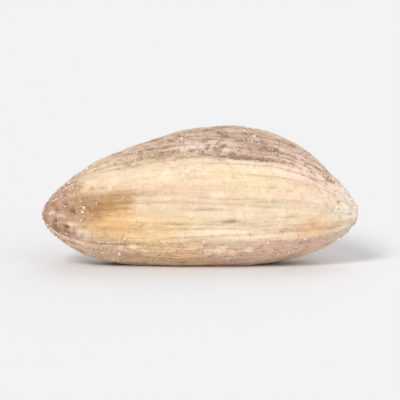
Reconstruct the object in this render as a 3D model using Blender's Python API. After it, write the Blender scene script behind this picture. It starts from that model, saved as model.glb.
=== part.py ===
"""A roasted salted almond kernel, one solid that lies on its small flat spot.

The kernel is shaped in its own frame: x along its length, from the pointed tip to the broad end,
y across its width and z through its thickness. It is then leant over as it lies, moved so that
the floor is at z = 0, and flattened a little where it rests. Metres, +Z up.
"""

import math

import bmesh
import bpy
from mathutils import Matrix, Vector, noise

MM = 0.001

# Driving dimensions of the kernel
LENGTH = 26.0 * MM
LEAN = math.radians(38.0)
AXIS_HEIGHT = 4.70 * MM
MERIDIANS = 96
RINGS = 56

# Half breadths of the kernel at these shares of its length, from the tip to the broad end.
# Each is that of the ellipse with the kernel's length, so the ends close by themselves.
STATIONS = (0.0, 0.1, 0.25, 0.42, 0.6, 0.76, 0.86, 0.92, 1.0)
UPPER_EDGE = [v * MM for v in (3.8, 4.9, 6.3, 7.5, 8.4, 8.7, 8.1, 6.3, 4.9)]
LOWER_EDGE = [v * MM for v in (5.3, 5.3, 4.95, 4.6, 4.6, 4.75, 4.9, 4.95, 4.8)]
FRONT_FACE = [v * MM for v in (3.2, 3.7, 4.1, 4.3, 4.4, 4.3, 4.0, 3.6, 3.0)]
BACK_FACE = [v * MM for v in (3.8, 4.8, 5.3, 5.4, 5.4, 5.3, 5.1, 4.7, 3.8)]

# How far the axis bends down at each end, towards the lower edge, and the shares where it starts
TIP_DROOP = 0.6 * MM
TIP_DROOP_FROM = 0.32
CROWN_DROOP = 0.8 * MM
CROWN_DROOP_FROM = 0.70

# How square each quarter of the section is: 2 is an ellipse, and more is fuller in its corner
SQUARE_FRONT_UPPER = 2.15
SQUARE_FRONT_LOWER = 2.1
SQUARE_BACK_LOWER = 2.3
SQUARE_BACK_UPPER = 2.1

# The blunt ridge along the front face, under the band of the upper edge, and its furrow
RIDGE_TURN = math.radians(84.0)
RIDGE_HEIGHT = 0.34 * MM
RIDGE_HALF_WIDTH = math.radians(16.0)
FURROW_DEPTH = 0.26 * MM
FURROW_OFFSET = math.radians(-8.0)
FURROW_HALF_WIDTH = math.radians(5.0)

# The long veins of the skin, which meet at both ends
VEINS = 17
VEIN_DEPTH = 0.16 * MM
VEIN_WANDER = 0.16

# The hollow behind the tip, on the front face
HOLLOW_SHARE = 0.20
HOLLOW_TURN = math.radians(128.0)
HOLLOW_DEPTH = 0.38 * MM
HOLLOW_HALF_LENGTH = 0.075
HOLLOW_HALF_TURN = math.radians(28.0)

# Dents left by the shell, and the crust of dried salt, thickest at the ends and the lower edge
DENT_HEIGHT = 0.32 * MM
DENT_SIZE = 6.5 * MM
CRUST_HEIGHT = 0.07 * MM
CRUST_SIZE = 0.9 * MM
CRUST_EXTRA_AT_ENDS = 0.9

SKIN_COLOUR = (0.76, 0.53, 0.33, 1.0)
SKIN_ROUGHNESS = 0.8


def clear_scene():
    for obj in list(bpy.data.objects):
        bpy.data.objects.remove(obj, do_unlink=True)


def along(values, share):
    """The value at a share of the length, on a smooth curve through the stations."""
    last = len(STATIONS) - 1
    i = 0
    while i < last - 1 and share > STATIONS[i + 1]:
        i += 1

    def slope(k):
        low, high = max(k - 1, 0), min(k + 1, last)
        return (values[high] - values[low]) / (STATIONS[high] - STATIONS[low])

    gap = STATIONS[i + 1] - STATIONS[i]
    u = (share - STATIONS[i]) / gap
    start, end = values[i], values[i + 1]
    return (
        (1 + 2 * u) * (1 - u) ** 2 * start
        + u * (1 - u) ** 2 * gap * slope(i)
        + u * u * (3 - 2 * u) * end
        + u * u * (u - 1) * gap * slope(i + 1)
    )


def droop(share):
    """How far the axis lies below its straight middle stretch, towards the lower edge."""
    at_tip = max(0.0, 1 - share / TIP_DROOP_FROM)
    at_crown = max(0.0, (share - CROWN_DROOP_FROM) / (1 - CROWN_DROOP_FROM))
    return TIP_DROOP * at_tip**2 + CROWN_DROOP * at_crown**2


def section_point(share, turn):
    """Where the smooth kernel's section meets the direction turn, before it tapers to the ends."""
    cos_turn, sin_turn = math.cos(turn), math.sin(turn)
    across = along(UPPER_EDGE if cos_turn >= 0 else LOWER_EDGE, share)
    through = along(FRONT_FACE if sin_turn >= 0 else BACK_FACE, share)
    if sin_turn >= 0:
        power = SQUARE_FRONT_UPPER if cos_turn >= 0 else SQUARE_FRONT_LOWER
    else:
        power = SQUARE_BACK_UPPER if cos_turn >= 0 else SQUARE_BACK_LOWER
    fullness = (abs(cos_turn) ** power + abs(sin_turn) ** power) ** (-1 / power)
    return fullness * across * cos_turn, fullness * through * sin_turn


def bump(distance, half_width):
    """1 at no distance, falling smoothly to near 0 at twice the half width."""
    return math.exp(-((distance / half_width) ** 2))


def turn_between(a, b):
    """The shorter way round from b to a."""
    return math.atan2(math.sin(a - b), math.cos(a - b))


def vein_relief(share, turn, taper):
    """Rounded ribs with narrower furrows between them, some strong and some faint."""
    round_way = Vector((math.cos(turn), math.sin(turn), 0.0))
    wander = VEIN_WANDER * noise.noise(round_way * 1.6 + Vector((0, 0, share * 4.5)))
    furrow = 0.5 - 0.5 * math.cos(VEINS * (turn + wander))
    strength = 0.55 + 0.9 * noise.noise(round_way * 2.3 + Vector((7.0, 0, share * 2.2)))
    return -VEIN_DEPTH * max(strength, 0.05) * furrow**1.6 * taper**1.2


def ridge_relief(share, turn, taper):
    """The blunt ridge that bounds the upper band, and the furrow on the band's side of it."""
    reach = bump(share - 0.56, 0.34) * taper
    wave = 0.05 * math.sin(share * 11.0)
    distance = turn_between(turn, RIDGE_TURN + wave)
    ridge = RIDGE_HEIGHT * math.exp(-abs(distance) / RIDGE_HALF_WIDTH)
    furrow = FURROW_DEPTH * bump(distance - FURROW_OFFSET, FURROW_HALF_WIDTH)
    return reach * (ridge - furrow)


def hollow_relief(share, turn):
    return (
        -HOLLOW_DEPTH
        * bump(share - HOLLOW_SHARE, HOLLOW_HALF_LENGTH)
        * bump(turn_between(turn, HOLLOW_TURN), HOLLOW_HALF_TURN)
    )


def dent_relief(point):
    return DENT_HEIGHT * noise.noise(point / DENT_SIZE + Vector((3.1, 1.7, 0.4)))


def crust_relief(point, taper):
    grain = noise.noise(point / CRUST_SIZE) + 0.5 * noise.noise(point / (0.5 * CRUST_SIZE))
    return CRUST_HEIGHT * grain * (1 + CRUST_EXTRA_AT_ENDS * (1 - taper) ** 2)


def shape_kernel(bm):
    """Turns a unit sphere with its poles on x into the kernel, in the kernel's own frame."""
    places = {}
    for vert in bm.verts:
        share = 0.5 * (1 + max(-1.0, min(1.0, vert.co.x)))
        taper = math.hypot(vert.co.y, vert.co.z)
        turn = math.atan2(vert.co.z, vert.co.y)
        across, through = section_point(share, turn)
        places[vert] = (share, turn, taper)
        vert.co = Vector((share * LENGTH, across * taper - droop(share), through * taper))
    bm.normal_update()
    moves = []
    for vert, (share, turn, taper) in places.items():
        relief = (
            vein_relief(share, turn, taper)
            + ridge_relief(share, turn, taper)
            + hollow_relief(share, turn)
            + dent_relief(vert.co)
            + crust_relief(vert.co, taper)
        )
        moves.append((vert, vert.normal * relief))
    for vert, move in moves:
        vert.co += move


def flatten_foot(bm):
    """Cuts the kernel at the floor and closes the cut with one flat face."""
    everything = bm.verts[:] + bm.edges[:] + bm.faces[:]
    cut = bmesh.ops.bisect_plane(
        bm,
        geom=everything,
        plane_co=(0, 0, 0),
        plane_no=(0, 0, -1),
        dist=0.002 * MM,
        clear_outer=True,
    )
    rim = [e for e in cut["geom_cut"] if isinstance(e, bmesh.types.BMEdge)]
    bmesh.ops.contextual_create(bm, geom=rim)


def centre_on_floor(bm):
    """Moves the kernel so that the middle of its box is over the origin."""
    xs = [v.co.x for v in bm.verts]
    ys = [v.co.y for v in bm.verts]
    middle = Vector(((min(xs) + max(xs)) / 2, (min(ys) + max(ys)) / 2, 0))
    bmesh.ops.translate(bm, verts=bm.verts[:], vec=-middle)


def skin_material():
    material = bpy.data.materials.new("salted_skin")
    material.use_nodes = True
    shader = material.node_tree.nodes["Principled BSDF"]
    shader.inputs["Base Color"].default_value = SKIN_COLOUR
    shader.inputs["Roughness"].default_value = SKIN_ROUGHNESS
    shader.inputs["Metallic"].default_value = 0.0
    return material


def make_almond(collection):
    bm = bmesh.new()
    poles_on_x = Matrix.Rotation(math.radians(90), 4, "Y")
    bmesh.ops.create_uvsphere(
        bm, u_segments=MERIDIANS, v_segments=RINGS, radius=1.0, matrix=poles_on_x
    )
    shape_kernel(bm)
    lie_down = Matrix.Translation((0, 0, AXIS_HEIGHT)) @ Matrix.Rotation(LEAN, 4, "X")
    bmesh.ops.transform(bm, matrix=lie_down, verts=bm.verts[:])
    flatten_foot(bm)
    centre_on_floor(bm)
    bmesh.ops.triangulate(bm, faces=bm.faces[:])
    bmesh.ops.recalc_face_normals(bm, faces=bm.faces[:])
    mesh = bpy.data.meshes.new("almond")
    bm.to_mesh(mesh)
    bm.free()
    mesh.shade_smooth()
    mesh.materials.append(skin_material())
    almond = bpy.data.objects.new("almond", mesh)
    collection.objects.link(almond)
    return almond


def main():
    clear_scene()
    collection = bpy.data.collections.new("roasted_salted_almond")
    bpy.context.scene.collection.children.link(collection)
    make_almond(collection)


main()
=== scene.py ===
"""The looks of a roasted salted almond.

Its furrowed skin, the film of salt that dried on it, and the grains of salt in that film.
"""

import math
import random

import bpy
import numpy as np
from mathutils import Euler, Matrix, Vector, noise


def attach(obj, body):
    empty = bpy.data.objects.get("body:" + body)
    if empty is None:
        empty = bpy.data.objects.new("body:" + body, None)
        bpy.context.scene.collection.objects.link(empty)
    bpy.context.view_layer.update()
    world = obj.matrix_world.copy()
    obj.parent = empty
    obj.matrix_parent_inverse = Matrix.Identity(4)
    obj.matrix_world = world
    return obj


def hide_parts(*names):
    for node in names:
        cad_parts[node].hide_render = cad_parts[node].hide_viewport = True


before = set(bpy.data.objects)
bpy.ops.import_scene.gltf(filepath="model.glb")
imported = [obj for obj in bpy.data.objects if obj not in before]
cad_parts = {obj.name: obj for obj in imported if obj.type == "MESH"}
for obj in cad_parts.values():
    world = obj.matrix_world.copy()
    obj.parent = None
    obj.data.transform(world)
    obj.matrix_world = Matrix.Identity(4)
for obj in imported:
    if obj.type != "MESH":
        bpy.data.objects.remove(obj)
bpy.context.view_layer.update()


# The kernel's body. The real one is a single seed with its thin skin roasted on to it, which
# dried in long furrows that run from the tip to the broad end.
# The solid is copied and given small even faces, fine enough for the wrinkles and the scurf.

MM = 0.001
FACE_SIZE = 0.115 * MM
JOIN_WITHIN = 0.0005 * MM
SMOOTHING = 0.5
SMOOTHING_PASSES = 3


def deselect_all():
    for obj in bpy.context.selected_objects:
        obj.select_set(False)


def make_active(obj):
    deselect_all()
    obj.select_set(True)
    bpy.context.view_layer.objects.active = obj


def apply_modifiers(obj):
    make_active(obj)
    for modifier in list(obj.modifiers):
        bpy.ops.object.modifier_apply(modifier=modifier.name)


kernel = bpy.data.objects.new("kernel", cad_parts["almond"].data.copy())
bpy.context.scene.collection.objects.link(kernel)
make_active(kernel)
bpy.ops.object.mode_set(mode="EDIT")
bpy.ops.mesh.select_all(action="SELECT")
bpy.ops.mesh.remove_doubles(threshold=JOIN_WITHIN)
bpy.ops.object.mode_set(mode="OBJECT")

even_faces = kernel.modifiers.new("even_faces", "REMESH")
even_faces.mode = "VOXEL"
even_faces.voxel_size = FACE_SIZE
no_steps = kernel.modifiers.new("no_steps", "SMOOTH")
no_steps.factor = SMOOTHING
no_steps.iterations = SMOOTHING_PASSES
apply_modifiers(kernel)


# The relief of the skin. On the real kernel the long furrows have finer wrinkles between them, a
# scurf of tiny scales all over, and a few short grooves and pits where the shell pressed on it.
# Each point is moved along its normal, by formulas that follow the skin from tip to broad end.

# How the kernel lies and how its axis bends, as in the solid. Lengths are in millimetres here.
LEAN = math.radians(38.0)
TIP_DROOP = 0.6
TIP_DROOP_TO = 8.3
CROWN_DROOP = 0.8
CROWN_DROOP_FROM = 18.2

# The skin is unrolled from a tube of this radius, and a line's width is told from a point beside
WRAP_RADIUS = 6.0
BESIDE = 0.12
LEAST_STEEPNESS = 0.2
FULL_STEEPNESS = 0.5

# The thin ends. The furrows fade below END_RADIUS, and the wrinkles below the sum of the next two.
# Lines and round marks keep their width on the kernel, so they widen on its unrolled skin, down
# to the thinnest radius or the thinnest share of END_RADIUS.
END_RADIUS = 3.2
WRINKLES_FROM = 2.2
WRINKLES_FADE = 2.0
THINNEST = 1.6
THINNEST_SHARE = 0.3

# Furrows are shallower on the front face, and salt fills some of them at both ends
FRONT_TURN = math.radians(125.0)
FRONT_REACH = 1.3
FRONT_FURROWS = 0.5
BACK_FURROWS = 1.3
TIP_FILLED, TIP_FILLED_TO = 0.65, 2.2
CROWN_FILLED, CROWN_FILLED_TO = 0.5, 1.4

CREASE_DEPTH = 0.11
CREASE_HALF_WIDTH = 0.10
CREASE_STRENGTH, CREASE_SPREAD = 0.6, 1.1
WRINKLE_DEPTH = 0.040
WRINKLE_HALF_WIDTH = 0.065
WRINKLE_DARKNESS = 0.35
RIB_HEIGHT = 0.040
SCURF_HEIGHT = 0.026
FINE_SCURF_SHARE = 0.6
CRUST_HEIGHT = 0.060
CRUST_AT_ENDS = 0.9
CRUST_PALENESS = 0.6
LOWEST = 0.012

# Patterns drawn out along the kernel: cells a millimetre along it and around it, and an offset
# that keeps them off one another
CREASES = (0.045, 0.80, Vector((0, 6, 2)))
CREASE_STRENGTHS = (0.08, 0.35, Vector((4, 1, 7)))
WRINKLES = (0.17, 2.2, Vector((9, 3, 1)))
RIBS = (0.13, 1.25, Vector((2, 8, 5)))
# Patterns that are the same all ways: cells a millimetre
SCURF_CELLS = 3.1
FINE_SCURF_CELLS = 6.3
CRUST_CELLS = 2.6
CRUST_PATCH_CELLS = 0.9
CRUST_PATCH_OFFSET = Vector((5, 5, 1))

# Short grooves: millimetres from the tip, degrees round, half length, half width, depth (less
# than nothing where the skin bulges instead)
GROOVES = (
    (15.4, 150.0, 0.75, 0.17, 0.17),
    (13.4, 137.0, 1.9, 0.17, 0.09),
    (18.8, 128.0, 1.8, 0.17, 0.09),
    (9.6, 121.0, 1.7, 0.18, 0.07),
    (20.4, 146.0, 0.9, 0.15, 0.08),
    (11.0, 152.0, 1.2, 0.15, 0.07),
    (16.8, 68.0, 2.6, 0.26, 0.17),
    (19.2, 78.5, 3.4, 0.55, -0.18),
    (11.6, 72.0, 2.0, 0.20, 0.10),
    (14.0, 62.0, 3.0, 0.18, 0.09),
    (18.6, 58.0, 2.4, 0.18, 0.10),
)
DARK_GROOVE_DEPTH = 0.12
# Pits in the crust: millimetres from the tip, degrees round, radius, depth
PITS = (
    (1.9, 122.0, 0.42, 0.26),
    (1.15, 158.0, 0.34, 0.20),
    (2.05, 163.0, 0.36, 0.22),
    (2.7, 140.0, 0.24, 0.12),
    (22.6, 74.0, 0.24, 0.12),
    (23.4, 92.0, 0.22, 0.11),
    (21.7, 95.0, 0.18, 0.09),
    (24.2, 108.0, 0.20, 0.09),
)
# Lumps of salt crust: the same, with their height
LUMPS = (
    (0.9, 138.0, 0.34, 0.11),
    (1.6, 146.0, 0.30, 0.10),
    (2.5, 158.0, 0.34, 0.11),
    (3.3, 168.0, 0.36, 0.09),
    (6.6, 186.0, 0.34, 0.10),
    (7.5, 183.0, 0.40, 0.12),
    (8.4, 187.0, 0.32, 0.09),
    (13.6, 189.0, 0.42, 0.10),
    (14.5, 186.0, 0.46, 0.13),
    (15.6, 189.0, 0.36, 0.10),
    (16.9, 186.0, 0.40, 0.09),
    (25.0, 118.0, 0.36, 0.10),
    (25.5, 150.0, 0.40, 0.10),
)


def read_vectors(mesh, attribute):
    values = np.empty(len(mesh.vertices) * 3)
    mesh.vertices.foreach_get(attribute, values)
    return values.reshape(-1, 3)


points = read_vectors(kernel.data, "co") / MM
normals = read_vectors(kernel.data, "normal")
tip = points[points[:, 0].argmin()]
crown = points[points[:, 0].argmax()]
length = crown[0] - tip[0]
mean_droop = (TIP_DROOP + CROWN_DROOP) / 2
axis_y = (tip[1] + crown[1]) / 2 + mean_droop * math.cos(LEAN)
axis_z = (tip[2] + crown[2]) / 2 + mean_droop * math.sin(LEAN)


def droop(from_tip):
    """How far the kernel's axis bends towards its lower edge near both ends."""
    at_tip = max(0.0, 1 - from_tip / TIP_DROOP_TO)
    at_crown = max(0.0, (from_tip - CROWN_DROOP_FROM) / (length - CROWN_DROOP_FROM))
    return TIP_DROOP * at_tip**2 + CROWN_DROOP * at_crown**2


def turn_of(point):
    """The direction round the axis, 0 at the upper edge and pi/2 in front, and how far out."""
    y, z = point.y - axis_y, point.z - axis_z
    across = math.cos(LEAN) * y + math.sin(LEAN) * z + droop(point.x - tip[0])
    through = -math.sin(LEAN) * y + math.cos(LEAN) * z
    return math.atan2(through, across), math.hypot(across, through)


def skin_place(from_tip, turn):
    """A point of the unrolled skin: a tube of one radius, so that patterns meet at both ends."""
    return Vector((from_tip, WRAP_RADIUS * math.cos(turn), WRAP_RADIUS * math.sin(turn)))


def bump(distance, half_width):
    """1 at no distance, falling smoothly to near 0 at twice the half width."""
    return math.exp(-((distance / half_width) ** 2))


def drawn_noise(place, pattern):
    """Noise on the unrolled skin, drawn out along the kernel."""
    along, around, offset = pattern
    return noise.noise(Vector((place.x * along, place.y * around, place.z * around)) + offset)


def lines(place, beside, pattern, half_width):
    """Long lines of one width on the unrolled skin, which fade where they would turn back."""
    value = drawn_noise(place, pattern)
    steepness = abs(drawn_noise(beside, pattern) - value) / BESIDE
    around = pattern[1]
    away = value / max(steepness, LEAST_STEEPNESS * around)
    return min(1.0, steepness / (FULL_STEEPNESS * around)) * bump(away, half_width)


def furrow_share(from_tip, turn, body_share):
    """How deep the furrows are at a place, against their full depth."""
    filled = max(
        TIP_FILLED * bump(from_tip, TIP_FILLED_TO),
        CROWN_FILLED * bump(length - from_tip, CROWN_FILLED_TO),
    )
    front = bump(math.remainder(turn - FRONT_TURN, math.tau), FRONT_REACH)
    furrows = BACK_FURROWS + (FRONT_FURROWS - BACK_FURROWS) * front
    return body_share * (1 - filled) * furrows


def mark_at(place, from_tip, degrees, half_length, half_width):
    """An oval mark on the unrolled skin, 1 in its middle."""
    away = place - skin_place(from_tip, math.radians(degrees))
    return bump(away.x, half_length) * bump(math.hypot(away.y, away.z), half_width)


def round_mark(place, body_share, from_tip, degrees, radius):
    """A mark that is round on the kernel, so wider on the unrolled skin of its thin ends."""
    thinness = THINNEST_SHARE + (1 - THINNEST_SHARE) * body_share
    return mark_at(place, from_tip, degrees, radius, radius / thinness)


def marks_at(place, body_share):
    """How deep the grooves, pits and lumps go at a place, its painted shade, and how salty it is.
    """
    depth = dark = salty = 0.0
    for from_tip, degrees, half_length, half_width, groove_depth in GROOVES:
        mark = mark_at(place, from_tip, degrees, half_length, half_width)
        dark = max(dark, mark * groove_depth / DARK_GROOVE_DEPTH)
        depth += mark * groove_depth
    for *spot, pit_depth in PITS:
        mark = round_mark(place, body_share, *spot)
        dark = max(dark, mark)
        depth += mark * pit_depth
    for *spot, lump_height in LUMPS:
        mark = round_mark(place, body_share, *spot)
        salty = max(salty, mark)
        depth -= mark * lump_height
    return depth, dark, salty


moved = []
places = []
creases = []
crusts = []
for point, normal in zip(points, normals):
    here = Vector(point)
    from_tip = here.x - tip[0]
    turn, radius = turn_of(here)
    place = skin_place(from_tip, turn)
    beside = skin_place(from_tip, turn + BESIDE / WRAP_RADIUS)
    body_share = min(1.0, radius / END_RADIUS)
    furrows = furrow_share(from_tip, turn, body_share)
    widening = WRAP_RADIUS / max(radius, THINNEST)
    strength = max(0.0, CREASE_STRENGTH + CREASE_SPREAD * drawn_noise(place, CREASE_STRENGTHS))
    crease = strength * lines(place, beside, CREASES, CREASE_HALF_WIDTH * widening)
    room = min(1.0, max(0.0, (radius - WRINKLES_FROM) / WRINKLES_FADE))
    wrinkle = room * lines(place, beside, WRINKLES, WRINKLE_HALF_WIDTH * widening)
    rib = drawn_noise(place, RIBS)
    fine_scurf = FINE_SCURF_SHARE * noise.noise(here * FINE_SCURF_CELLS)
    scurf = noise.noise(here * SCURF_CELLS) + fine_scurf
    crust_patch = noise.noise(here * CRUST_PATCH_CELLS + CRUST_PATCH_OFFSET)
    crust_patch = max(0.0, crust_patch + CRUST_AT_ENDS * (1 - body_share))
    crust = crust_patch * (0.5 + noise.noise(here * CRUST_CELLS))
    depth, dark, salty = marks_at(place, body_share)
    height = (
        -CREASE_DEPTH * crease * furrows
        - WRINKLE_DEPTH * wrinkle * furrows
        + RIB_HEIGHT * rib * furrows
        + SCURF_HEIGHT * scurf
        + CRUST_HEIGHT * crust
        - depth
    )
    new_point = here + Vector(normal) * height
    if new_point.z < LOWEST:
        new_point.z = max(new_point.z, min(here.z, LOWEST))
    moved.append(new_point * MM)
    places.append(place)
    # Darker where creases, wrinkles, grooves and pits are deeper: painted shade in the recesses.
    creases.append(min(1.0, max(crease * furrows, WRINKLE_DARKNESS * wrinkle * furrows, dark)))
    crusts.append(min(1.0, max(0.0, CRUST_PALENESS * crust + salty)))

kernel.data.vertices.foreach_set("co", [value for point in moved for value in point])
kernel.data.update()


def add_attribute(mesh, name, kind, values):
    attribute = mesh.attributes.new(name, kind, "POINT")
    if kind == "FLOAT_VECTOR":
        attribute.data.foreach_set("vector", [value for vector in values for value in vector])
    else:
        attribute.data.foreach_set("value", values)


add_attribute(kernel.data, "skin_place", "FLOAT_VECTOR", places)
add_attribute(kernel.data, "crease", "FLOAT", creases)
add_attribute(kernel.data, "crust", "FLOAT", crusts)
make_active(kernel)
bpy.ops.object.shade_smooth()


# The finish of the skin. The real skin is golden brown, and the brine dried on it as a chalky
# cream film, thin on the lower edge and white at the broad end. The hollow behind the tip is
# darker, partly from thin film over its golden roast and partly from a painted shadow of a
# neighbouring almond. Some patches and marks paint shade too: over the upper band, in the furrow
# below it, and in the creases, grooves and pits.
# The film lies over the roast colour, with each tint in its place on the unrolled skin.


def rgb(red, green, blue):
    """The linear colour of an sRGB one given in 0 to 255."""
    return tuple(
        c / 12.92 if c <= 0.04045 else ((c + 0.055) / 1.055) ** 2.4
        for c in (red / 255, green / 255, blue / 255)
    ) + (1.0,)


def new_group(name, inputs, outputs):
    """A shader node group with these named sockets, and its input and output sockets."""
    group = bpy.data.node_groups.new(name, "ShaderNodeTree")
    for socket, kind, value in inputs:
        made = group.interface.new_socket(socket, in_out="INPUT", socket_type="NodeSocket" + kind)
        if value is not None:
            made.default_value = value
    for socket, kind in outputs:
        group.interface.new_socket(socket, in_out="OUTPUT", socket_type="NodeSocket" + kind)
    given = group.nodes.new("NodeGroupInput")
    result = group.nodes.new("NodeGroupOutput")
    return group, given.outputs, result.inputs


class Tree:
    """Short calls that add nodes to a shader tree and return the output that is used."""

    def __init__(self, tree):
        self.tree = tree

    def feed(self, socket, value):
        if isinstance(value, bpy.types.NodeSocket):
            self.tree.links.new(value, socket)
        elif value is not None:
            socket.default_value = value

    def math(self, operation, first, second=None, clamp=False):
        made = self.tree.nodes.new("ShaderNodeMath")
        made.operation = operation
        made.use_clamp = clamp
        for socket, value in zip(made.inputs, (first, second)):
            self.feed(socket, value)
        return made.outputs[0]

    def vector(self, operation, first, second=None):
        made = self.tree.nodes.new("ShaderNodeVectorMath")
        made.operation = operation
        for socket, value in zip(made.inputs, (first, second)):
            self.feed(socket, value)
        return made.outputs["Value" if operation == "LENGTH" else "Vector"]

    def smooth(self, value, low, high, to_low=0.0, to_high=1.0):
        made = self.tree.nodes.new("ShaderNodeMapRange")
        made.interpolation_type = "SMOOTHSTEP"
        for name, given in zip(
            ("Value", "From Min", "From Max", "To Min", "To Max"),
            (value, low, high, to_low, to_high),
        ):
            self.feed(made.inputs[name], given)
        return made.outputs["Result"]

    def noise(self, place, scale, detail=2.0, roughness=0.5, output="Fac"):
        made = self.tree.nodes.new("ShaderNodeTexNoise")
        for name, given in zip(
            ("Vector", "Scale", "Detail", "Roughness"), (place, scale, detail, roughness)
        ):
            self.feed(made.inputs[name], given)
        return made.outputs[output]

    def mix(self, share, first, second):
        made = self.tree.nodes.new("ShaderNodeMix")
        made.data_type = "RGBA"
        self.feed(made.inputs[0], share)
        self.feed(made.inputs[6], first)
        self.feed(made.inputs[7], second)
        return made.outputs[2]

    def group(self, tree, output, **values):
        made = self.tree.nodes.new("ShaderNodeGroup")
        made.node_tree = tree
        for name, given in values.items():
            self.feed(made.inputs[name.replace("_", " ")], given)
        return made.outputs[output]

    def attribute(self, name, output):
        made = self.tree.nodes.new("ShaderNodeAttribute")
        made.attribute_name = name
        return made.outputs[output]

    def object_mm(self):
        """The place on the object in millimetres."""
        coordinates = self.tree.nodes.new("ShaderNodeTexCoord")
        mapping = self.tree.nodes.new("ShaderNodeMapping")
        mapping.inputs["Scale"].default_value = (1 / MM, 1 / MM, 1 / MM)
        self.tree.links.new(coordinates.outputs["Object"], mapping.inputs["Vector"])
        return mapping.outputs["Vector"]


def make_patch_group():
    """A soft-edged oval on the unrolled skin."""
    group, given, result = new_group(
        "patch",
        (
            ("Place", "Vector", None),
            ("Centre", "Vector", (0, 0, 0)),
            ("Reach", "Vector", (1, 1, 1)),
            ("Softness", "Float", 0.5),
        ),
        (("Mask", "Float"),),
    )
    tree = Tree(group)
    away = tree.vector("SUBTRACT", given["Place"], given["Centre"])
    distance = tree.vector("LENGTH", tree.vector("DIVIDE", away, given["Reach"]))
    inner = tree.math("SUBTRACT", 1.0, given["Softness"])
    outer = tree.math("ADD", 1.0, given["Softness"])
    group.links.new(tree.smooth(distance, inner, outer, 1.0, 0.0), result["Mask"])
    return group


COARSE_GRAIN = 0.37
COARSE_SHARE = 0.4
SPECKLE_HALF_RANGE = 0.18


def make_grain_group():
    """The powder of dried salt: a fine speckle and the height of its grains."""
    group, given, result = new_group(
        "salt_grain",
        (("Place", "Vector", None), ("Grains per mm", "Float", 6.0), ("Contrast", "Float", 0.5)),
        (("Speckle", "Float"), ("Height", "Float")),
    )
    tree = Tree(group)
    fine = tree.noise(given["Place"], given["Grains per mm"], 3.0, 0.65)
    coarse_scale = tree.math("MULTIPLY", given["Grains per mm"], COARSE_GRAIN)
    coarse = tree.noise(given["Place"], coarse_scale, 2.0, 0.5)
    both = tree.math(
        "ADD",
        tree.math("MULTIPLY", fine, 1 - COARSE_SHARE),
        tree.math("MULTIPLY", coarse, COARSE_SHARE),
    )
    half = tree.math("MULTIPLY", given["Contrast"], SPECKLE_HALF_RANGE)
    low = tree.math("SUBTRACT", 0.5, half)
    high = tree.math("ADD", 0.5, half)
    group.links.new(tree.smooth(both, low, high), result["Speckle"])
    group.links.new(both, result["Height"])
    return group


PATCH = make_patch_group()
GRAIN = make_grain_group()

ROAST_LIGHT = rgb(174, 126, 84)
ROAST_DARK = rgb(112, 75, 50)
ROAST_GREY_AND_SHADE = rgb(136, 113, 94)
FILM_CREAM = rgb(228, 204, 173)
FILM_PALE = rgb(233, 214, 187)
FILM_ROSE = rgb(222, 194, 168)
SALT_CRUST = rgb(240, 225, 208)

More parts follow.
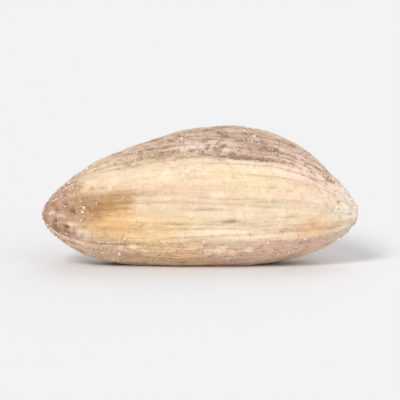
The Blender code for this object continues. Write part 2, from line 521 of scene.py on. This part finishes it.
# Tints of the film: name, millimetres from the tip, degrees round, reach along, reach round,
# softness, strength, colour
TINTS = (
    # The darker, greyer tints of the upper band and of its left end are partly the skin's colour
    # and partly painted shade over the kernel's top.
    ("shaded_upper_band", 14.6, 43.0, 10.5, 3.1, 0.35, 0.80, rgb(192, 163, 147)),
    ("band_left", 9.6, 64.0, 3.0, 1.7, 0.6, 0.60, rgb(208, 184, 150)),
    ("band_rose", 13.4, 55.0, 2.7, 1.0, 0.7, 0.60, rgb(240, 215, 200)),
    # A dark olive line painted as the shade inside the furrow between the upper band and the front
    # face.
    ("furrow_shade_line", 17.0, 67.0, 2.9, 0.55, 0.5, 0.85, rgb(150, 131, 104)),
    ("below_band", 19.6, 82.5, 3.4, 1.3, 0.6, 0.80, rgb(240, 217, 188)),
    ("broad_shoulder", 22.6, 74.0, 2.9, 3.6, 0.6, 0.90, rgb(240, 212, 195)),
    ("low_face", 13.8, 164.0, 8.0, 1.6, 0.6, 0.85, rgb(252, 230, 200)),
    ("lower_edge", 12.5, 196.0, 8.5, 2.1, 0.5, 0.75, rgb(248, 208, 171)),
    ("right_underside", 18.5, 196.0, 5.5, 2.2, 0.5, 0.85, rgb(244, 206, 185)),
    ("peach_low", 9.9, 182.0, 2.4, 2.1, 0.7, 0.95, rgb(255, 218, 170)),
    ("yellow_low", 11.0, 152.0, 2.4, 1.0, 0.7, 0.45, rgb(232, 203, 150)),
    ("peach_left", 11.0, 118.0, 3.2, 1.4, 0.8, 0.40, rgb(232, 200, 168)),
    ("yellow_streak", 17.0, 100.0, 3.0, 1.2, 0.7, 0.55, rgb(234, 212, 164)),
    ("green_patch", 18.6, 138.0, 1.8, 1.3, 0.8, 0.45, rgb(220, 207, 170)),
    ("pink_patch", 20.8, 118.0, 1.6, 1.2, 0.7, 0.45, rgb(232, 202, 180)),
    ("back_warm", 13.0, 292.0, 11.0, 4.6, 0.7, 0.50, rgb(243, 211, 177)),
    ("back_gold", 8.5, 300.0, 4.5, 2.6, 0.8, 0.55, rgb(226, 190, 144)),
    ("back_rose", 18.0, 338.0, 4.0, 2.4, 0.8, 0.50, rgb(224, 191, 172)),
    ("back_cream", 16.0, 268.0, 6.0, 2.8, 0.8, 0.50, rgb(238, 216, 184)),
    # The dark golden brown of the hollow behind the tip is partly its roast colour and partly a
    # painted shadow of a neighbouring almond.
    ("golden_hollow_and_shadow", 4.9, 134.5, 2.2, 3.0, 0.95, 0.95, rgb(180, 136, 78)),
    ("golden_edge", 6.8, 158.0, 3.2, 1.9, 0.7, 0.75, rgb(236, 194, 136)),
    ("tip", 0.0, 130.0, 2.6, 40.0, 0.6, 0.95, rgb(170, 128, 108)),
    ("tip_low", 2.8, 194.0, 1.4, 2.5, 0.7, 0.85, rgb(255, 222, 200)),
    ("tip_back", 3.0, 310.0, 2.0, 6.5, 0.8, 0.65, rgb(206, 166, 134)),
    ("orange_spot", 22.2, 161.0, 1.9, 1.3, 0.8, 0.65, rgb(234, 184, 136)),
    ("nub_gold", 23.9, 138.0, 0.9, 2.0, 0.6, 0.45, rgb(224, 203, 160)),
    ("white_nub", 26.0, 138.0, 1.8, 30.0, 0.9, 0.90, rgb(229, 219, 204)),
)
# Places where the film is thin and the roast shows: the same, with how much of the film is gone
THIN_FILM = (
    # The film is thinned in the hollow behind the tip partly to paint that neighbour's shadow.
    ("golden_hollow_and_shadow", 4.0, 131.0, 1.5, 1.8, 1.0, 0.45),
    ("back_rub", 15.5, 330.0, 3.4, 2.2, 0.8, 0.20),
    ("back_rub_2", 7.5, 290.0, 2.6, 1.6, 0.8, 0.22),
)
# Places where the film is worn: the same, with how deep the wear is, and its pattern
WORN_FILM = (
    # The wear streaks and blotches on the upper band also darken it as painted shade.
    ("shaded_upper_band", 14.6, 42.0, 11.0, 3.3, 0.45, 0.54, "streaks"),
    ("band_blotches", 15.0, 46.0, 10.0, 3.2, 0.4, 0.42, "blotches"),
    ("tip", 0.4, 130.0, 2.8, 40.0, 0.6, 0.60, "blotches"),
    ("shoulder", 22.8, 76.0, 1.9, 2.4, 0.6, 0.30, "blotches"),
    ("lower_edge", 13.0, 195.0, 9.5, 2.1, 0.5, 0.35, "streaks"),
    ("back", 13.0, 300.0, 11.0, 5.0, 0.6, 0.20, "streaks"),
    ("back_specks", 13.0, 300.0, 12.0, 6.0, 0.6, 0.50, "specks"),
)
# Where the roast under the film is greyer over the upper band, partly as painted shade, and
# where the film has few thin spots
GREY_ROAST_AND_SHADE = (15.0, 50.0, 11.0, 4.2, 0.5)
GREY_STRENGTH = 0.75
PLAIN_FRONT = (13.0, 135.0, 9.5, 3.4, 0.5)
THIN_SPOTS_ELSEWHERE = 0.34
FEWER_IN_FRONT = 0.26

# How the patterns are drawn out along the fibres, and how far, in millimetres, the patches
# wander over the skin and feather along its fibres
DRAWN_OUT = (0.12, 1.0, 1.0)
WEAR_DRAWN_OUT = (0.45, 2.2, 2.2)
ROSE_OFFSET = (7.0, 3.0, 5.0)
WANDER = (3.4, 2.6, 2.6)
FEATHER = (7.0, 0.0, 0.0)
# Noise: cells a millimetre, detail, roughness
DRIFT_NOISE = (0.9, 3.0, 0.6)
STREAK_NOISE = (0.9, 5.0, 0.62)
FINE_STREAK_NOISE = (4.2, 4.0, 0.6)
ROSE_NOISE = (0.5, 3.0, 0.5)
MOTTLE_NOISE = (0.55, 4.0, 0.6)
WEAR_NOISE = (1.0, 4.0, 0.65)
SPECK_NOISE = (2.6, 3.0, 0.6)
SPECK_CLUSTER_NOISE = (0.7, 2.0, 0.5)
BLOTCH_NOISE = (1.5, 3.0, 0.6)
THIN_SPOT_NOISE = (1.9, 4.0, 0.65)

CRUST_WHITENESS = 0.55
CRUST_COVER = 0.35
# The film is thinned in the creases, grooves and pits to paint their shade.
CREASE_WEAR_AND_SHADE = 0.46
POWDER_COVER = 0.16
FINE_RELIEF_STRENGTH = 0.55
FINE_RELIEF_HEIGHT = 0.06 * MM


def film_colour(tree, patch, here, drawn_out, crust):
    """The film's cream, in its mottles and rosy streaks, with the tints over it."""
    mottle = tree.noise(here, *MOTTLE_NOISE)
    rose_streak = tree.noise(tree.vector("ADD", drawn_out, ROSE_OFFSET), *ROSE_NOISE)
    film = tree.mix(tree.smooth(mottle, 0.35, 0.65), FILM_CREAM, FILM_PALE)
    film = tree.mix(tree.smooth(rose_streak, 0.48, 0.66, 0.0, 0.8), film, FILM_ROSE)
    for _, *oval, strength, colour in TINTS:
        film = tree.mix(tree.math("MULTIPLY", patch(*oval), strength), film, colour)
    return tree.mix(tree.math("MULTIPLY", crust, CRUST_WHITENESS), film, SALT_CRUST)


def film_cover(tree, patch, here, place, streak, crease, crust):
    """How much of the roast the film hides, from 0 to 1."""
    cover = tree.smooth(streak, 0.25, 0.62, 0.79, 0.94)
    for _, *oval, gone in THIN_FILM:
        cover = tree.math("SUBTRACT", cover, tree.math("MULTIPLY", patch(*oval), gone), clamp=True)

    worn_streak = tree.noise(tree.vector("MULTIPLY", place, WEAR_DRAWN_OUT), *WEAR_NOISE)
    specks = tree.math(
        "MULTIPLY",
        tree.smooth(tree.noise(here, *SPECK_NOISE), 0.57, 0.64),
        tree.smooth(tree.noise(here, *SPECK_CLUSTER_NOISE), 0.42, 0.56),
    )
    wear_patterns = {
        "streaks": tree.math("MAXIMUM", tree.smooth(worn_streak, 0.46, 0.64), specks),
        "blotches": tree.smooth(tree.noise(here, *BLOTCH_NOISE), 0.49, 0.60),
        "specks": specks,
    }
    for _, *oval, depth, pattern in WORN_FILM:
        worn = tree.math("MULTIPLY", patch(*oval), wear_patterns[pattern])
        cover = tree.math("SUBTRACT", cover, tree.math("MULTIPLY", worn, depth), clamp=True)

    thin_spots = tree.smooth(tree.noise(here, *THIN_SPOT_NOISE), 0.52, 0.68)
    fewer = tree.math("MULTIPLY", patch(*PLAIN_FRONT), FEWER_IN_FRONT)
    spotted = tree.math("SUBTRACT", THIN_SPOTS_ELSEWHERE, fewer)
    cover = tree.math("SUBTRACT", cover, tree.math("MULTIPLY", thin_spots, spotted), clamp=True)
    # Painted shade in the creases, grooves and pits: the film is thinned with their depth.
    cover = tree.math("SUBTRACT", cover, tree.math("MULTIPLY", crease, CREASE_WEAR_AND_SHADE), clamp=True)
    cover = tree.math("ADD", cover, tree.math("MULTIPLY", crust, CRUST_COVER), clamp=True)
    speckle = tree.group(GRAIN, "Speckle", Place=here, Grains_per_mm=7.0, Contrast=0.9)
    powder = tree.math("MULTIPLY", tree.math("SUBTRACT", speckle, 0.5), POWDER_COVER)
    return tree.math("ADD", cover, powder, clamp=True)


def make_skin_material():
    material = bpy.data.materials.new("salted_skin")
    material.use_nodes = True
    tree = Tree(material.node_tree)
    shader = material.node_tree.nodes["Principled BSDF"]
    here = tree.object_mm()
    place = tree.attribute("skin_place", "Vector")
    crease = tree.attribute("crease", "Fac")
    crust = tree.attribute("crust", "Fac")

    drawn_out = tree.vector("MULTIPLY", place, DRAWN_OUT)
    streak = tree.noise(drawn_out, *STREAK_NOISE)
    fine_streak = tree.noise(drawn_out, *FINE_STREAK_NOISE)
    fibres = tree.math("SUBTRACT", tree.math("ADD", streak, fine_streak), 1.0)
    drift = tree.noise(here, *DRIFT_NOISE, output="Color")
    drift = tree.vector("SUBTRACT", drift, (0.5, 0.5, 0.5))
    wandering = tree.vector("ADD", place, tree.vector("MULTIPLY", drift, WANDER))
    wandering = tree.vector("ADD", wandering, tree.vector("MULTIPLY", fibres, FEATHER))

    def patch(from_tip, degrees, along, around, softness):
        """The mask of an oval patch of the skin, with a wandering edge."""
        return tree.group(
            PATCH, "Mask", Place=wandering, Centre=skin_place(from_tip, math.radians(degrees)),
            Reach=(along, around, around), Softness=softness,
        )

    roast = tree.mix(tree.smooth(fine_streak, 0.35, 0.65), ROAST_LIGHT, ROAST_DARK)
    greyed = tree.math("MULTIPLY", patch(*GREY_ROAST_AND_SHADE), GREY_STRENGTH)
    roast = tree.mix(greyed, roast, ROAST_GREY_AND_SHADE)
    film = film_colour(tree, patch, here, drawn_out, crust)
    cover = film_cover(tree, patch, here, place, streak, crease, crust)
    tree.feed(shader.inputs["Base Color"], tree.mix(cover, roast, film))
    tree.feed(shader.inputs["Roughness"], tree.smooth(cover, 0.3, 0.9, 0.62, 0.88))

    height = tree.math(
        "ADD",
        tree.math("MULTIPLY", fine_streak, 0.5),
        tree.group(GRAIN, "Height", Place=here, Grains_per_mm=9.0),
    )
    relief = material.node_tree.nodes.new("ShaderNodeBump")
    relief.inputs["Strength"].default_value = FINE_RELIEF_STRENGTH
    relief.inputs["Distance"].default_value = FINE_RELIEF_HEIGHT
    tree.feed(relief.inputs["Height"], height)
    tree.feed(shader.inputs["Normal"], relief.outputs["Normal"])
    shader.inputs["Specular IOR Level"].default_value = 0.3
    shader.inputs["Subsurface Weight"].default_value = 0.12
    shader.inputs["Subsurface Radius"].default_value = (1.0, 0.55, 0.3)
    shader.inputs["Subsurface Scale"].default_value = 0.5 * MM
    return material


kernel.data.materials.clear()
kernel.data.materials.append(make_skin_material())
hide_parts("almond")
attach(kernel, "root")


# The salt. The real grains are crushed cubes of a tenth to a third of a millimetre, which stuck
# in the brine as it dried, most of them at both ends, along the lower edge and in the furrows.
# Three grains are shaped, and each is copied over the skin, turned and sunk a little into it.

SEED = 26
POWDER_GRAINS = 2600
CRUMBS = 70
POWDER_SIZE = (0.05, 0.12)
CRUMB_SIZE = (0.14, 0.25)
GRAIN_STRETCH = (0.75, 1.2)
SINK = 0.34
CLEAR_OF_TABLE = 0.35 * MM

# How much salt sticks, against the plain front face: the most there, and over what distance
PLAIN_LIKING = 0.40
CREASE_LIKING = 1.0
TIP_LIKING, TIP_LIKING_TO = 2.4, 2.6
CROWN_LIKING, CROWN_LIKING_TO = 2.2, 2.4
LOWER_LIKING, LOWER_LIKING_TO = 1.2, 2.2
UPPER_LIKING, UPPER_LIKING_TO = 0.2, 3.5
LOWER_TURN = math.radians(188)
UPPER_TURN = math.radians(45)
CLUSTERS = (0.45, 0.6, Vector((3, 3, 3)))
CLUSTER_CONTRAST = 1.8
LEAST_CLUSTERED = 0.08


def chipped_cube(name, sides, cuts):
    """A cube of about 1 across with these side lengths, with corners cut off by planes."""
    bpy.ops.mesh.primitive_cube_add(size=1.0)
    cube = bpy.context.active_object
    cube.name = name
    cube.scale = sides
    bpy.ops.object.transform_apply(location=False, rotation=False, scale=True)
    bpy.ops.object.mode_set(mode="EDIT")
    for direction, reach in cuts:
        bpy.ops.mesh.select_all(action="SELECT")
        away = Vector(direction).normalized()
        bpy.ops.mesh.bisect(
            plane_co=away * reach, plane_no=away, use_fill=True, clear_outer=True
        )
    bpy.ops.object.mode_set(mode="OBJECT")
    corners = [tuple(vertex.co) for vertex in cube.data.vertices]
    faces = [tuple(polygon.vertices) for polygon in cube.data.polygons]
    bpy.data.objects.remove(cube, do_unlink=True)
    return corners, faces


deselect_all()
GRAIN_SHAPES = (
    chipped_cube("grain_block", (1.0, 0.9, 0.8), (((1, 1, 1), 0.52), ((-1, 0.6, -0.4), 0.5))),
    chipped_cube("grain_slab", (1.1, 0.8, 0.5), (((1, -0.5, 0.6), 0.45), ((-0.8, -1, 0.3), 0.42))),
    chipped_cube("grain_shard", (1.3, 0.6, 0.55), (((1, 0.3, 0.8), 0.40), ((-1, -0.4, 0.5), 0.45))),
)


def salt_liking(place, crease):
    """How much salt sticks at a place of the skin, against the plain front face."""
    liking = PLAIN_LIKING + CREASE_LIKING * crease
    liking += TIP_LIKING * bump(place.x, TIP_LIKING_TO)
    liking += CROWN_LIKING * bump(length - place.x, CROWN_LIKING_TO)
    lower = (place - skin_place(place.x, LOWER_TURN)).length
    liking += LOWER_LIKING * bump(lower, LOWER_LIKING_TO)
    upper = (place - skin_place(place.x, UPPER_TURN)).length
    liking += UPPER_LIKING * bump(upper, UPPER_LIKING_TO)
    clustered = 0.5 + CLUSTER_CONTRAST * drawn_noise(place, CLUSTERS)
    return liking * max(LEAST_CLUSTERED, clustered)


faces = kernel.data.polygons
face_weights = [
    face.area * salt_liking(places[face.vertices[0]], creases[face.vertices[0]])
    for face in faces
]


def scatter(name, count, sizes, chance):
    """One mesh of grains set on the skin by chance, weighted by how much salt sticks there."""
    verts = []
    polygons = []
    for index in chance.choices(range(len(faces)), weights=face_weights, k=count):
        face = faces[index]
        if face.center.z < CLEAR_OF_TABLE:
            continue
        corners, sides = chance.choice(GRAIN_SHAPES)
        size = chance.uniform(*sizes) * MM
        turned = Euler([chance.uniform(0, math.tau) for _ in range(3)]).to_matrix()
        stretch = Matrix.Diagonal([chance.uniform(*GRAIN_STRETCH) * size for _ in range(3)])
        centre = face.center + face.normal * size * (0.5 - SINK)
        start = len(verts)
        verts += [centre + turned @ (stretch @ Vector(corner)) for corner in corners]
        polygons += [[start + corner for corner in side] for side in sides]
    mesh = bpy.data.meshes.new(name)
    mesh.from_pydata(verts, [], polygons)
    mesh.validate()
    grains = bpy.data.objects.new(name, mesh)
    bpy.context.scene.collection.objects.link(grains)
    return grains


def make_salt_material():
    material = bpy.data.materials.new("dried_salt")
    material.use_nodes = True
    tree = Tree(material.node_tree)
    shader = material.node_tree.nodes["Principled BSDF"]
    here = tree.object_mm()
    speckle = tree.group(GRAIN, "Speckle", Place=here, Grains_per_mm=9.0, Contrast=1.4)
    tint = tree.noise(here, 0.8)
    pure = tree.mix(tint, rgb(244, 236, 226), rgb(238, 222, 204))
    tree.feed(shader.inputs["Base Color"], tree.mix(speckle, rgb(228, 208, 186), pure))
    tree.feed(shader.inputs["Roughness"], tree.smooth(speckle, 0.0, 1.0, 0.32, 0.55))
    shader.inputs["Subsurface Weight"].default_value = 0.25
    shader.inputs["Subsurface Radius"].default_value = (1.0, 0.9, 0.8)
    shader.inputs["Subsurface Scale"].default_value = 0.15 * MM
    return material


salt = make_salt_material()
chance = random.Random(SEED)
for name, count, sizes in (
    ("salt_powder", POWDER_GRAINS, POWDER_SIZE),
    ("salt_crumbs", CRUMBS, CRUMB_SIZE),
):
    grains = scatter(name, count, sizes, chance)
    grains.data.materials.append(salt)
    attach(grains, "root")


# The stage. A plain pale table that runs out of view, and soft light that comes mostly from the
# camera's side, as from one large window, with a weaker light from behind.
# The camera looks along +Y from a little above the table, with a long lens.

FLOOR_SIZE = 4.0
FLOOR_COLOUR = rgb(219, 219, 220)
FLOOR_ROUGHNESS = 0.9
FLOOR_GLOSS = 0.1
WORLD_STRENGTH = 0.50
CAMERA_ELEVATION = math.radians(8.0)
LENS = 300.0
SENSOR = 36.0
NEAREST = 0.01
VIEW_WIDTH = 33.0 * MM
AIM = Vector((0.0, 0.0, 5.1 * MM))

# Wide soft lights: name, azimuth (0 behind the camera and 90 the right), elevation and spread in
# degrees, and strength
LIGHTS = (
    ("window", -28.0, 40.0, 22.0, 2.05),
    ("fill", 40.0, 40.0, 50.0, 0.6),
    ("behind", 165.0, 42.0, 60.0, 1.0),
)

bpy.ops.mesh.primitive_plane_add(size=FLOOR_SIZE)
floor = bpy.context.active_object
floor.name = "floor"
floor_material = bpy.data.materials.new("pale_table")
floor_material.use_nodes = True
floor_shader = floor_material.node_tree.nodes["Principled BSDF"]
floor_shader.inputs["Base Color"].default_value = FLOOR_COLOUR
floor_shader.inputs["Roughness"].default_value = FLOOR_ROUGHNESS
floor_shader.inputs["Specular IOR Level"].default_value = FLOOR_GLOSS
floor.data.materials.append(floor_material)

world = bpy.data.worlds.new("studio")
bpy.context.scene.world = world
world.use_nodes = True
sky = world.node_tree.nodes["Background"]
sky.inputs["Color"].default_value = (1.0, 1.0, 1.0, 1.0)
sky.inputs["Strength"].default_value = WORLD_STRENGTH

for name, azimuth, elevation, spread, strength in LIGHTS:
    light = bpy.data.lights.new(name, "SUN")
    light.energy = strength
    light.angle = math.radians(spread)
    lamp = bpy.data.objects.new(name, light)
    bpy.context.scene.collection.objects.link(lamp)
    around, up = math.radians(azimuth), math.radians(elevation)
    towards = Vector(
        (math.sin(around) * math.cos(up), -math.cos(around) * math.cos(up), math.sin(up))
    )
    lamp.rotation_euler = towards.to_track_quat("Z", "Y").to_euler()

camera_data = bpy.data.cameras.new("camera")
camera_data.lens = LENS
camera_data.sensor_width = SENSOR
camera_data.clip_start = NEAREST
camera = bpy.data.objects.new("camera", camera_data)
bpy.context.scene.collection.objects.link(camera)
distance = VIEW_WIDTH * LENS / SENSOR
backwards = Vector((0.0, -math.cos(CAMERA_ELEVATION), math.sin(CAMERA_ELEVATION)))
camera.location = AIM + backwards * distance
camera.rotation_euler = backwards.to_track_quat("Z", "Y").to_euler()
bpy.context.scene.camera = camera
bpy.context.scene.view_settings.view_transform = "Standard"
